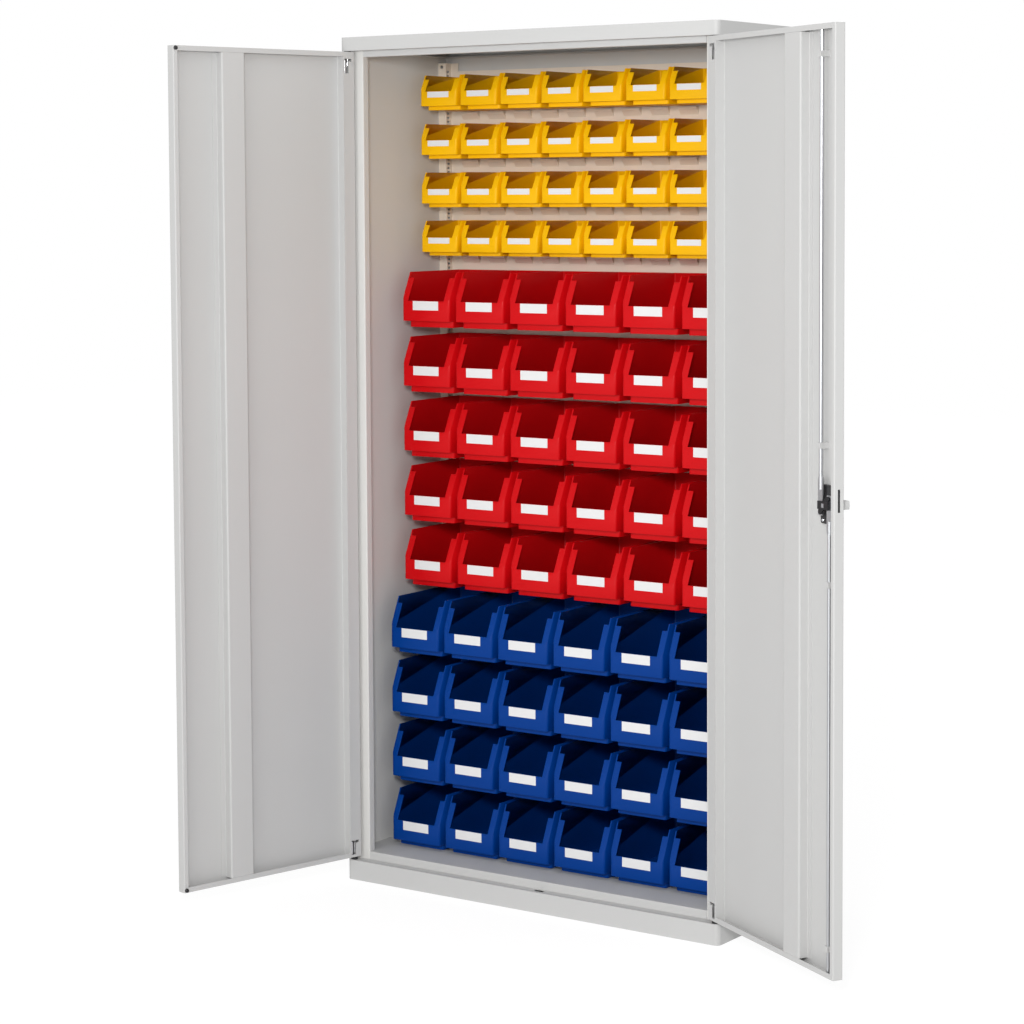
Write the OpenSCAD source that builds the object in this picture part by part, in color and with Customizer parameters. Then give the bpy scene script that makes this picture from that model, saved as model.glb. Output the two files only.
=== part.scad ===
// Parts bin cabinet: a two-door steel cabinet whose back wall is louvred panels,
// with open-fronted bins hooked on the louvres in yellow, red and blue rows.
// The origin is the centre of the carcass footprint on the floor. The doors
// face -Y, +Z is up, and all sizes are in millimetres.

/* [Carcass] */
// Width over the side panels
body_w = 1000; // [980:5:1060]
// Depth from the header's front to the back
body_d = 410; // [400:5:480]
// Height from the floor to the top
body_h = 1950; // [1950:5:2000]
// Gauge of the folded sheet steel
gauge = 1.2; // [1:0.1:1.5]
// Height of the header above the doors
header_h = 31; // [28:1:36]
// Height of the plinth under the doors
plinth_h = 46; // [42:1:50]
// How far the frame behind the doors stands back from the front
setback = 28; // [28:0.5:32]
// Width of the post on each side of the opening
post_w = 45; // [35:1:50]
// Height of the rail that shows under the header
rail_h = 14; // [10:1:18]
// Height of the cabinet's floor
floor_h = 64; // [60:1:66]
// Radius of the upright corners of the header and plinth
corner_r = 12; // [5:1:20]

/* [Doors] */
// Angle of the left door in the rest pose, from closed
left_open = 104; // [0:1:180]
// Angle of the right door in the rest pose, from closed
right_open = 150; // [0:1:180]
// Thickness of a door over its folded lips
door_t = 23; // [20:0.5:23]
// Distance of the hinge axis in from the side of the cabinet
hinge_in = 13.5; // [12:0.5:14]
// Distance of the hinge axis behind the front of the door
hinge_back = 10.7; // [10:0.1:12]
// Gap between each door's free edge and the middle of the cabinet
door_gap = 2.5; // [2:0.5:5]
// Width of the lip folded round the inside of a door
lip_w = 11; // [8:1:14]
// Start of the upright stiffener, measured from the hinge axis
stiffener_from = 295; // [260:5:300]
// Width of the upright stiffener's raised face
stiffener_w = 62; // [40:1:70]
// Radius of a hinge pin
pin_r = 4; // [3:0.5:5]

/* [Lock] */
// Height of the lock's turning axis
lock_z = 984; // [900:1:1100]
// Distance of the lock's turning axis from the hinge axis
lock_u = 440; // [435:1:445]
// Radius of the circle that the crank's pins travel on
crank_r = 18; // [16:0.5:20]
// Radius of a locking rod
rod_r = 4; // [3:0.5:4.5]
// Distance of the locking rods behind the front of the door
rod_d = 15.5; // [15:0.5:16]
// Radius of the turning knob
knob_r = 21; // [18:0.5:24]

/* [Louvre panels] */
// Spacing of the louvres across a panel
louvre_dx = 76; // [76:1:78]
// Spacing of the louvre rows
louvre_dz = 38; // [38:0.5:38]
// Width of one louvre
louvre_w = 48; // [40:1:52]
// Height of one louvre from its root to its tip
louvre_h = 18; // [14:1:20]
// How far a louvre's tip stands out from the sheet
louvre_out = 10; // [9:0.5:11]
// Height of the upright lip along a louvre's tip
louvre_lip = 5; // [3:0.5:6]

/* [Bins] */
// Wall thickness of every bin
wall = 2.5; // [2:0.1:3]
// Length of a yellow bin, without its hook
yellow_len = 151; // [130:1:160]
// Width of a yellow bin at its back
yellow_w = 108; // [100:1:110]
// Width of a yellow bin at its front
yellow_front = 104; // [90:1:106]
// Height of a yellow bin
yellow_h = 82; // [80:1:90]
// Length of a red bin, without its hook
red_len = 231; // [200:1:240]
// Width of a red bin at its back
red_w = 146; // [130:1:148]
// Width of a red bin at its front
red_front = 135; // [120:1:144]
// Height of a red bin
red_h = 128.5; // [128.5:0.5:135]
// Length of a blue bin, without its hook
blue_len = 284; // [250:1:300]
// Width of a blue bin at its back
blue_w = 147; // [130:1:148]
// Width of a blue bin at its front
blue_front = 137; // [120:1:144]
// Height of a blue bin
blue_h = 130; // [130:0.5:136]

/* [Hidden] */

steel_grey = [0.80, 0.80, 0.79];
panel_grey = [0.84, 0.83, 0.81];
bright_steel = [0.70, 0.72, 0.74];
dark_plastic = [0.07, 0.07, 0.08];
dark_steel = [0.20, 0.20, 0.21];
yellow_plastic = [0.95, 0.74, 0.02];
red_plastic = [0.82, 0.05, 0.07];
blue_plastic = [0.02, 0.22, 0.55];
label_white = [0.92, 0.92, 0.90];

$fn = 48;
overlap = 1;                        // how far a cutting shape runs past the face it cuts
running_fit = 0.08;                 // radial clearance of a turning or sliding fit
seat_gap = 0.3;                     // gap between pieces that hang on or butt each other
bend_r = 2.4;                       // outer radius of a fold in the sheet
bend_steps = 3;
bush_r = pin_r + 2.4;
bush_collar_r = 8;
bush_sleeve = 5;
bush_clearance = 0.4;
pin_leg_u = 14;                     // cranked leg of a hinge pin
pin_leg_d = 18.5;
pin_leg_r = 2.5;
pin_arm_in = 10;                    // shank past the cranked arm
pin_past = 11;                      // shank past the face of the header or plinth
pin_window_low = 60;                // foot of each window in the hinge-side box
pin_window_high = 1868;
window_h = 33;
window_w = 11.5;
window_u0 = -3;                     // hinge end of the window's cross arm
window_arm = 6;
window_in = 5;                      // cranked arm below the top of its window
hat_foot = 12;                      // welded flanges of the stiffener
buffer_r = 4.5;
buffer_h = 4.5;
buffer_edge = 1;
screw_r = 2.5;

side_x = body_w / 2;
front_y = -body_d / 2;
back_y = body_d / 2;
frame_y = front_y + setback;        // front of the posts, rail and floor lip
header_z = body_h - header_h;       // underside of the header
opening_x = side_x - post_w;
post_return = 18;                   // depth of the fold behind each post
flange_w = 20;                      // inward flanges of the header and plinth
rear_flange = 15;                   // inward fold at the back of each side panel
frame_fold = 12;                    // how far the rail and floor lip fold back
cross_rail_w = 80;                  // channel under the floor, inside the plinth
back_hem = 10;                      // hem at the top and bottom of the back panel

// Doors, in door coordinates: u from the hinge axis, d from the outer face, z
axis_x = side_x - hinge_in;
axis_y = front_y + hinge_back;
door_u0 = -(hinge_in - door_gap);
door_u1 = axis_x - door_gap;
door_z0 = plinth_h + 8;
door_z1 = header_z - 2;
rod_slot_w = 24;                    // slots for the rods in the header and plinth
rod_slot_gap = 1.5;
channel_u = 21;                     // inner wall of the hinge-side box
lip_d = door_t - gauge;
guide_z = [1860, 1100, 830, 110];   // heights of the rod guides
slot_z0 = 974;                      // cut-out in the right door's free edge
slot_z1 = 1019;
slot_d0 = 9;
slot_d1 = 14.3;
case_u0 = 415;                      // lock case
case_u1 = 462;
case_z0 = 947;
case_z1 = 1023;
case_d = 10;
rod_hole_r = rod_r + 1;
crank_pin_r = 3;
crank_pin_h = 3.6;
crank_d0 = 17.4;                    // crank plate, behind the front of the door
crank_d1 = 22;
crank_t = 3;
crank_eye_r = 6;
crank_hub_w = 38;
crank_hub_h = 16;
eye_t = 3;                          // flat end of a locking rod
eye_side = 6.5;                     // metal beside the path of the crank's pin
eye_inner = 7.5;                    // inner edge of the eye from the lock's axis
eye_end = 8;
eye_top = 58;
slot_half = 3.8;                    // half the height of the slot for the crank's pin
bar_start = 30;
rod_in = 16;                        // each rod stands this far from the lock's axis
rod_rest = 2;                       // end of a resting rod inside the door's edge
guide_w = 12;
guide_t = 2;
spindle_w = 8;
neck_r = 6.5;                       // neck of the knob through the door
neck_gap = 0.5;
nose_u0 = 466;                      // nose of the lock case, clear of the rod's eye
nose_wall = 1;
case_corner = 4;
case_screw_u = 18;                  // case screws from the lock's axis
case_screw_z = 31;
case_screw_r = 1.5;
case_screw_head = 3.5;
rose_r = 26;
rose_t = 3;
rose_edge = 1.5;
knob_disc = 14;                     // height of the knob's disc
knob_h = 28;
grip_w = 17;
barrel_r = 6;
barrel_seat = 8;
keyway_w = 2;
keyway_l = 8;
keyway_d = 9;
upper_u = lock_u - rod_in;
lower_u = lock_u + rod_in;

// Slotted uprights and louvre panels
upright_x = side_x - 22;            // inner face of an upright
upright_y = back_y - 32;            // its front flange
panel_y = back_y - 9;               // front face of the louvre sheet
tip_y = panel_y - louvre_out;
panel_rows = 16;
panel_columns = 12;
panel_h = panel_rows * louvre_dz;
panel_w = 2 * (upright_x - bend_r - seat_gap);
panel_z0 = 62;
tip_above = 15;                     // louvre tip above the foot of its cell
foot_margin = 6;                    // sheet below the first louvre's cell
panel_seam = 0.6;                   // gap between one panel and the next
upright_flange = 20;                // rear flange that the panels are screwed to
screw_x = upright_x - 10;
screw_in = 29;                      // panel screws in from the panel's foot and top
slot_pitch = 10;
slot_in = 6;
slot_w = 9;
slot_h = 5;
first_slot = 72;
last_slot = 1885;
upright_top = header_z - rail_h;
end_hole_r = 4;                     // hole at each end of an upright's front flange
end_hole_in = 9;
end_hole_x = 11;

// Bins
bin_back_y = tip_y - seat_gap;      // back of every bin, in front of the louvre tips
hook_leg = 6;
hook_t = 2.4;
hook_w = 40;
label_t = 0.6;
bin_corner_r = 6;
foot_inset = 5;                     // the foot stands in from the bin's sides and back
foot_setback = 22;                  // and from its front
hook_reach = 7.5;                   // back of the hook behind the bin
yellow_hook = 74;                   // louvre tip above the foot of the bin that hangs on it
red_hook = 125;
blue_hook = 126;
yellow_columns = 8;
wide_columns = 6;                   // red and blue bins
loose_yellow = [2, 2];              // column and row of the bins that lift off
loose_red = [2, 3];
loose_blue = [2, 2];

function unit(v) = v / norm(v);
function left_of(v) = [-v[1], v[0]];

// Arc that replaces the corner b between a and c
function corner_arc(a, b, c, r, steps) =
    let (u = unit(a - b), w = unit(c - b), half = acos(u * w) / 2,
         centre = b + unit(u + w) * r / sin(half),
         s = b + u * r / tan(half) - centre, e = b + w * r / tan(half) - centre,
         a0 = atan2(s[1], s[0]), turn = atan2(s[0] * e[1] - s[1] * e[0], s * e))
    [for (i = [0 : steps]) centre + r * [cos(a0 + turn * i / steps), sin(a0 + turn * i / steps)]];

// Closed outline with the corners rounded by the radii given, one for each corner
function rounded(points, radii, steps) =
    let (n = len(points))
    [for (i = [0 : n - 1])
        each radii[i] > 0
            ? corner_arc(points[(i + n - 1) % n], points[i], points[(i + 1) % n], radii[i], steps)
            : [points[i]]];

// Open path with every bend rounded
function bent(path, r) =
    [for (i = [0 : len(path) - 1])
        each (i == 0 || i == len(path) - 1)
            ? [path[i]]
            : corner_arc(path[i - 1], path[i], path[i + 1], r, bend_steps)];

// Point i of a path, moved left of the path by t
function offset_point(p, i, t) =
    let (last = len(p) - 1,
         before = left_of(unit(i > 0 ? p[i] - p[i - 1] : p[1] - p[0])),
         after = left_of(unit(i < last ? p[i + 1] - p[i] : p[last] - p[last - 1])))
    p[i] + (before + after) * t / (1 + before * after);

// Outline of folded sheet: the path is one face, the other is a gauge to its left
function fold(path, r = bend_r) =
    let (p = bent(path, r))
    concat(p, [for (i = [len(p) - 1 : -1 : 0]) offset_point(p, i, gauge)]);

// Extrudes a (y, z) outline along X
module along_x(outline, x0, x1)
    translate([x0, 0, 0]) rotate([90, 0, 90]) linear_extrude(x1 - x0) polygon(outline);

// Extrudes an (x, y) outline along Z
module along_z(outline, z0, z1)
    translate([0, 0, z0]) linear_extrude(z1 - z0) polygon(outline);

module block(low, high) translate(low) cube(high - low);

// Plate with rounded upright corners
module corner_plate(w, d, r) {
    square([w - 2 * r, d], center = true);
    square([w, d - 2 * r], center = true);
    for (x = [-1, 1], y = [-1, 1]) translate([x * (w / 2 - r), y * (d / 2 - r)]) circle(r);
}

// Wall of the header or plinth, open inside
module corner_ring(h)
    linear_extrude(h) difference() {
        corner_plate(body_w, body_d, corner_r);
        corner_plate(body_w - 2 * gauge, body_d - 2 * gauge, corner_r - gauge);
    }

// Flat flange round the inside of the header or plinth; the front one reaches behind the frame
module corner_flange()
    linear_extrude(gauge) difference() {
        corner_plate(body_w, body_d, corner_r);
        translate([-side_x + flange_w, frame_y + frame_fold])
            square([body_w - 2 * flange_w, body_d - setback - frame_fold - flange_w]);
    }

// Places holes at both hinge axes
module at_hinges() for (x = [-axis_x, axis_x]) translate([x, axis_y, 0]) children();

// Slot that a locking rod slides into, seen from above
module rod_slot(u)
    translate([axis_x - u - rod_slot_w / 2, front_y + rod_d - rod_r - rod_slot_gap])
        square([rod_slot_w, 2 * (rod_r + rod_slot_gap) + rod_slot_gap]);

// ---- Carcass ----

module top_panel() color(steel_grey) {
    difference() {
        union() {
            translate([0, 0, header_z]) corner_ring(header_h);
            translate([0, 0, body_h - gauge]) linear_extrude(gauge)
                corner_plate(body_w, body_d, corner_r);
            translate([0, 0, header_z]) corner_flange();
        }
        at_hinges() translate([0, 0, header_z - overlap])
            cylinder(r = bush_r, h = gauge + 2 * overlap);
        translate([0, 0, header_z - overlap]) linear_extrude(gauge + 2 * overlap)
            rod_slot(upper_u);
    }
    // Rail behind the doors, folded back under the header
    along_x(fold([[frame_y, header_z], [frame_y, header_z - rail_h],
                  [frame_y + frame_fold, header_z - rail_h]]), -opening_x, opening_x);
}

// Right side panel in plan, folded into the post at the front and a flange at the back
side_path = [[opening_x, frame_y + post_return], [opening_x, frame_y], [side_x, frame_y],
             [side_x, back_y], [side_x - rear_flange, back_y]];

module right_side() color(steel_grey) along_z(fold(side_path), plinth_h, header_z);

module left_side() color(steel_grey) mirror([1, 0, 0]) right_side();

module back_panel() color(steel_grey) {
    x = side_x - bend_r - seat_gap;
    y = back_y - gauge;
    z0 = plinth_h + seat_gap;
    z1 = header_z - seat_gap;
    along_x(fold([[y - back_hem, z0], [y, z0], [y, z1], [y - back_hem, z1]]), -x, x);
}

// Floor tray: it fits round the posts, and its front lip stands on the plinth
module floor_panel() color(steel_grey) {
    x = side_x - gauge - seat_gap;
    front_x = opening_x - seat_gap;
    y0 = frame_y + frame_fold;
    y1 = back_y - gauge - back_hem - seat_gap;
    notch_y = frame_y + post_return + seat_gap;
    along_z([[-front_x, y0], [front_x, y0], [front_x, notch_y], [x, notch_y],
             [x, y1], [-x, y1], [-x, notch_y], [-front_x, notch_y]],
            floor_h - gauge, floor_h);
    along_x(fold([[y0, floor_h], [frame_y, floor_h], [frame_y, plinth_h]]), -front_x, front_x);
}

module plinth() color(steel_grey)
    difference() {
        union() {
            corner_ring(plinth_h);
            corner_flange();
            translate([0, 0, plinth_h - gauge]) corner_flange();
            // Channel from front to back that stiffens the base
            translate([0, back_y - gauge, 0]) rotate([90, 0, 0])
                linear_extrude(body_d - 2 * gauge)
                    polygon(fold([[-cross_rail_w / 2, plinth_h - gauge],
                                  [-cross_rail_w / 2, 0], [cross_rail_w / 2, 0],
                                  [cross_rail_w / 2, plinth_h - gauge]]));
        }
        at_hinges() translate([0, 0, plinth_h - gauge - overlap])
            cylinder(r = bush_r, h = gauge + 2 * overlap);
        translate([0, 0, plinth_h - gauge - overlap]) linear_extrude(gauge + 2 * overlap)
            rod_slot(lower_u);
    }

// Collared bushes for the four hinge pins; the lower ones carry the doors
module hinge_bushes() color(dark_plastic)
    at_hinges() {
        translate([0, 0, header_z]) bush(header_z - door_z1 - bush_clearance);
        translate([0, 0, plinth_h]) mirror([0, 0, 1])
            bush(door_z0 - plinth_h - bush_clearance);
    }

module bush(collar_h)
    difference() {
        union() {
            translate([0, 0, -collar_h]) cylinder(r = bush_collar_r, h = collar_h);
            cylinder(r = bush_r - running_fit, h = bush_sleeve);
        }
        translate([0, 0, -collar_h - overlap])
            cylinder(r = pin_r + running_fit, h = collar_h + bush_sleeve + 2 * overlap);
    }

// ---- Slotted uprights and louvre panels ----

upright_path = [[upright_x - upright_flange, panel_y + gauge], [upright_x, panel_y + gauge],
                [upright_x, upright_y], [side_x - gauge, upright_y]];

module upright()
    difference() {
        along_z(fold(upright_path), floor_h, upright_top);
        // Ladder of hook slots in the inner side
        translate([upright_x - overlap, 0, 0]) rotate([90, 0, 90])
            linear_extrude(gauge + 2 * overlap)
                for (z = [first_slot : slot_pitch : last_slot])
                    translate([upright_y + slot_in, z]) square([slot_w, slot_h]);
        // Round hole at each end of the front flange
        for (z = [floor_h + end_hole_in, upright_top - end_hole_in])
            translate([upright_x + end_hole_x, upright_y - overlap, z]) rotate([-90, 0, 0])
                cylinder(r = end_hole_r, h = gauge + 2 * overlap);
        for (panel = [0 : 2], z = screw_heights(panel))
            translate([screw_x, panel_y, z]) rotate([-90, 0, 0])
                cylinder(r = screw_r + running_fit, h = 3 * gauge);
    }

module right_upright() color(panel_grey) upright();

module left_upright() color(panel_grey) mirror([1, 0, 0]) upright();

function panel_foot(panel) = panel_z0 + panel * panel_h;
function screw_heights(panel) =
    [panel_foot(panel) + screw_in, panel_foot(panel) + panel_h - screw_in];

// One louvre in section: a pocket open at the top, pressed out of the sheet, with closed
// cheeks and an upright lip that the bins' hooks hang over
function hood(z) = [[panel_y, z], [tip_y, z + louvre_h - louvre_lip], [tip_y, z + louvre_h],
                    [panel_y, z + louvre_h]];
function hood_inside(z) = [[panel_y + gauge, z], [tip_y + gauge, z + louvre_h - louvre_lip],
                           [tip_y + gauge, z + louvre_h],
                           [panel_y + gauge + overlap, z + louvre_h],
                           [panel_y + gauge + overlap, z]];
function column_x(k) = (k - (panel_columns - 1) / 2) * louvre_dx;
function louvre_foot(panel, row) = panel_foot(panel) + row * louvre_dz + tip_above - louvre_h;

// One column of louvre sections; the bottom panel leaves out the row at the floor
module louvre_column(panel, k, w, inside)
    translate([column_x(k) - w / 2, 0, 0]) rotate([90, 0, 90]) linear_extrude(w)
        for (row = [panel > 0 ? 0 : 1 : panel_rows - 1])
            polygon(inside ? hood_inside(louvre_foot(panel, row)) : hood(louvre_foot(panel, row)));

module louvre_panel(panel) color(panel_grey) {
    z0 = max(panel_foot(panel) - foot_margin, floor_h + seat_gap);
    z1 = panel_foot(panel + 1) - (panel < 2 ? foot_margin + panel_seam : 0);
    difference() {
        union() {
            block([-panel_w / 2, panel_y, z0], [panel_w / 2, panel_y + gauge, z1]);
            for (k = [0 : panel_columns - 1]) louvre_column(panel, k, louvre_w, false);
        }
        for (k = [0 : panel_columns - 1])
            louvre_column(panel, k, louvre_w - 2 * gauge, true);
        for (x = [-screw_x, screw_x], z = screw_heights(panel))
            translate([x, panel_y - overlap, z]) rotate([-90, 0, 0])
                cylinder(r = screw_r + running_fit, h = gauge + 2 * overlap);
    }
}

module louvre_panel_top() louvre_panel(2);
module louvre_panel_middle() louvre_panel(1);
module louvre_panel_bottom() louvre_panel(0);

// Pan-head screws that hold the panels to the uprights
module panel_screws() color(bright_steel)
    for (panel = [0 : 2], z = screw_heights(panel), x = [-screw_x, screw_x])
        translate([x, panel_y, z]) rotate([90, 0, 0]) {
            cylinder(r1 = screw_r * 2, r2 = screw_r * 1.4, h = screw_r);
            translate([0, 0, -3 * gauge]) cylinder(r = screw_r, h = 3 * gauge);
        }

// ---- Doors ----

// Door coordinates: u from the hinge axis, d from the outer face, z
module at_left_door()
    translate([-axis_x, axis_y, 0]) rotate([0, 0, -left_open])
        translate([0, -hinge_back, 0]) children();

module at_right_door()
    translate([axis_x, axis_y, 0]) rotate([0, 0, right_open]) mirror([1, 0, 0])
        translate([0, -hinge_back, 0]) children();

// Plan of a stretch of the leaf between two u's, in from its faces by the inset
function leaf_plan(u0, u1, inset, r) =
    rounded([[u0 + inset, inset], [u1 - inset, inset],
             [u1 - inset, door_t - inset], [u0 + inset, door_t - inset]],
            [r, r, r, r], bend_steps);

// Folded leaf: a box section down the hinge side and a lip round the other three
module door_leaf()
    difference() {
        along_z(leaf_plan(door_u0, door_u1, 0, bend_r), door_z0, door_z1);
        along_z(leaf_plan(door_u0, channel_u, gauge, bend_r - gauge),
                door_z0 + gauge, door_z1 - gauge);
        along_z(leaf_plan(channel_u - gauge, door_u1, gauge, bend_r - gauge),
                door_z0 + gauge, door_z1 - gauge);
        // The back is open inside the lips
        block([channel_u, door_t / 2, door_z0 + lip_w],
              [door_u1 - lip_w, door_t + overlap, door_z1 - lip_w]);
        for (z = [door_z0 - overlap, door_z1 - gauge - overlap])
            translate([0, hinge_back, z])
                cylinder(r = pin_r + running_fit, h = gauge + 2 * overlap);
        for (z = [pin_window_low, pin_window_high]) pin_window(z);
    }

// L-shaped window that shows the hinge pin's cranked leg
module pin_window(z) {
    d0 = lip_d - overlap;
    d1 = door_t + overlap;
    u1 = channel_u - 3.5;
    block([u1 - window_w, d0, z], [u1, d1, z + window_h]);
    block([window_u0, d0, z + window_h - window_arm], [u1, d1, z + window_h]);
}

// Full-height hat section welded inside the leaf, flush with the lips
module stiffener() {
    s0 = stiffener_from;
    s1 = stiffener_from + stiffener_w;
    inside = door_t - gauge;
    along_z(fold([[s0 - hat_foot, gauge], [s0 + gauge, gauge], [s0 + gauge, inside],
                  [s1 - gauge, inside], [s1 - gauge, gauge], [s1 + hat_foot, gauge]]),
            door_z0 + lip_w + seat_gap, door_z1 - lip_w - seat_gap);
}

// Cranked hinge pin: the shank turns in the bush, the leg shows in the window
module hinge_pin(shank_z0, shank_z1, arm_z, leg_z0) {
    translate([0, hinge_back, shank_z0]) cylinder(r = pin_r, h = shank_z1 - shank_z0);
    reach = norm([pin_leg_u, pin_leg_d - hinge_back]);
    translate([0, hinge_back, arm_z])
        rotate([0, 0, atan2(pin_leg_d - hinge_back, pin_leg_u)]) rotate([0, 90, 0])
            cylinder(r = pin_leg_r, h = reach);
    translate([pin_leg_u, pin_leg_d, leg_z0]) {
        cylinder(r = pin_leg_r, h = arm_z - leg_z0);
        translate([0, 0, arm_z - leg_z0]) sphere(r = pin_leg_r);
    }
}

module hinge_pins() {
    high = pin_window_high + window_h - window_in;
    low = pin_window_low + window_h - window_in;
    hinge_pin(high - pin_arm_in, header_z + pin_past, high, pin_window_high + gauge);
    hinge_pin(plinth_h - pin_past, low + pin_arm_in, low, pin_window_low + gauge);
}

module left_door() color(steel_grey) at_left_door() door_leaf();
module left_stiffener() color(steel_grey) at_left_door() stiffener();
module left_hinge_pins() color(bright_steel) at_left_door() hinge_pins();
module right_stiffener() color(steel_grey) at_right_door() stiffener();
module right_hinge_pins() color(bright_steel) at_right_door() hinge_pins();

// Rubber buffers at the corners of the left door's free edge
module left_buffers() color(dark_plastic) at_left_door()
    for (z = [door_z0 + lip_w / 2, door_z1 - lip_w / 2])
        translate([door_u1 - lip_w / 2, door_t, z]) rotate([-90, 0, 0]) {
            cylinder(r = buffer_r, h = buffer_h - buffer_edge);
            translate([0, 0, buffer_h - buffer_edge])
                cylinder(r1 = buffer_r, r2 = buffer_r - buffer_edge, h = buffer_edge);
        }

module right_door() color(steel_grey) at_right_door()
    difference() {
        door_leaf();
        block([door_u1 - 2 * gauge, slot_d0, slot_z0], [door_u1 + overlap, slot_d1, slot_z1]);
        translate([lock_u, -overlap, lock_z]) rotate([-90, 0, 0])
            cylinder(r = neck_r + neck_gap, h = gauge + 2 * overlap);
        translate([upper_u, rod_d, door_z1 - gauge - overlap])
            cylinder(r = rod_hole_r, h = gauge + 2 * overlap);
        translate([lower_u, rod_d, door_z0 - overlap])
            cylinder(r = rod_hole_r, h = gauge + 2 * overlap);
    }

// ---- Lock ----

// Moves to the lock's axis on the right door, heights towards the inside
module at_lock() at_right_door() translate([lock_u, 0, lock_z]) rotate([-90, 0, 0]) children();

// The same axis with heights towards the outside
module at_knob() at_right_door() translate([lock_u, 0, lock_z]) rotate([90, 0, 0]) children();

// Places the two screws of the lock case, heights towards the inside
module at_case_screws()
    at_lock() for (s = [-1, 1]) translate([s * case_screw_u, -s * case_screw_z, 0]) children();

// Plastic case with a nose behind the slot in the door's free edge
module lock_case() color(dark_plastic)
    difference() {
        at_right_door() {
            translate([0, case_d, 0]) rotate([90, 0, 0]) linear_extrude(case_d - gauge)
                polygon(rounded([[case_u0, case_z0], [case_u1, case_z0],
                                 [case_u1, case_z1], [case_u0, case_z1]],
                                [case_corner, case_corner, case_corner, case_corner],
                                bend_steps));
            block([case_u1 - case_corner, gauge, slot_z0 - nose_wall],
                  [nose_u0 + overlap, slot_d0 + nose_wall, slot_z1 + nose_wall]);
            block([nose_u0, gauge, slot_z0 - nose_wall],
                  [door_u1 - bend_r, slot_d1 + nose_wall, slot_z1 + nose_wall]);
        }
        at_lock() cylinder(r = neck_r + neck_gap, h = 2 * case_d);
        at_case_screws() cylinder(r = case_screw_r + running_fit, h = 2 * case_d);
    }

module lock_screws() color(bright_steel)
    at_case_screws() {
        translate([0, 0, 2 * gauge]) cylinder(r = case_screw_r, h = case_d - 2 * gauge);
        translate([0, 0, case_d])
            cylinder(r1 = case_screw_head, r2 = case_screw_head - 1, h = case_screw_r);
    }

// Round plate under the knob, outside the door
module lock_rose() color(steel_grey) at_knob()
    rotate_extrude()
        polygon([[neck_r + running_fit, 0], [rose_r, 0], [rose_r, rose_t - rose_edge],
                 [rose_r - rose_edge, rose_t], [neck_r + running_fit, rose_t]]);

// Turning knob: a disc with a grip across it and a bore for the key barrel
module lock_knob() color(steel_grey) at_knob()
    difference() {
        union() {
            rotate_extrude()
                polygon(rounded([[0, rose_t + seat_gap], [knob_r, rose_t + seat_gap],
                                 [knob_r, knob_disc - 4], [knob_r - 4, knob_disc],
                                 [0, knob_disc]],
                                [0, 1.2, 2, 3, 0], 4));
            translate([0, 0, knob_disc - overlap]) linear_extrude(knob_h - knob_disc + overlap)
                intersection() {
                    circle(r = knob_r - 1);
                    square([2 * knob_r, grip_w], center = true);
                }
            translate([0, 0, -gauge]) cylinder(r = neck_r, h = gauge + rose_t + overlap);
        }
        translate([0, 0, barrel_seat]) cylinder(r = barrel_r + running_fit, h = knob_h);
    }

// Key barrel with its keyway
module key_barrel() color(bright_steel) at_knob()
    difference() {
        translate([0, 0, barrel_seat + seat_gap])
            cylinder(r = barrel_r, h = knob_h - barrel_seat - 2 * seat_gap);
        translate([0, 0, knob_h - keyway_d]) linear_extrude(keyway_d)
            square([keyway_w, keyway_l], center = true);
    }

// Square spindle from the knob to the crank
module lock_spindle() color(bright_steel) at_lock()
    translate([0, 0, gauge + seat_gap]) linear_extrude(crank_d1 - gauge)
        square(spindle_w, center = true);

// Crank with a pin for each rod, standing in their slots
module lock_crank() color(dark_steel) at_lock() {
    difference() {
        union() {
            translate([0, 0, crank_d0]) linear_extrude(crank_t) {
                rotate(-45) square([2 * crank_r, 2 * crank_eye_r], center = true);
                at_crank_pins() circle(r = crank_eye_r);
            }
            translate([0, 0, crank_d0]) linear_extrude(crank_d1 - crank_d0)
                square([crank_hub_w, crank_hub_h], center = true);
        }
        translate([0, 0, crank_d0 - overlap]) linear_extrude(crank_d1)
            square(spindle_w + running_fit, center = true);
    }
    translate([0, 0, crank_d0 - crank_pin_h]) linear_extrude(crank_pin_h)
        at_crank_pins() circle(r = crank_pin_r);
}

// In the unlocked pose the pins stand below left and above right of the lock's axis
module at_crank_pins() rotate(-45) for (s = [-1, 1]) translate([s * crank_r, 0]) children();

// A locking rod: a flat eye with a slot for the crank's pin, and a round bar.
// It is drawn for the upper rod, measured from the lock's axis.
module locking_rod(bar_end) {
    pin_u = crank_r * sin(45);
    outer_u = crank_r + eye_side;
    slot_end = crank_pin_r + seat_gap;
    difference() {
        translate([0, rod_d + eye_t / 2, 0]) rotate([90, 0, 0]) linear_extrude(eye_t)
            polygon(rounded([[-outer_u, -pin_u - eye_end], [-eye_inner, -pin_u - eye_end],
                             [-eye_inner, eye_top], [-outer_u, eye_top]], [2, 2, 8, 8], 6));
        // The slot lets the pin swing sideways while it lifts the rod
        block([-crank_r - slot_end, rod_d - eye_t, -pin_u - slot_half],
              [-pin_u + slot_end, rod_d + eye_t, -pin_u + slot_half]);
    }
    translate([-rod_in, rod_d, bar_start]) cylinder(r = rod_r, h = bar_end - bar_start);
}

module upper_rod() color(bright_steel) at_right_door()
    translate([lock_u, 0, lock_z]) locking_rod(door_z1 - rod_rest - lock_z);

// The lower rod is the upper one turned half round on the lock's axis
module lower_rod() color(bright_steel) at_right_door()
    translate([lock_u, 0, lock_z]) rotate([0, 180, 0])
        locking_rod(lock_z - door_z0 - rod_rest);

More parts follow.
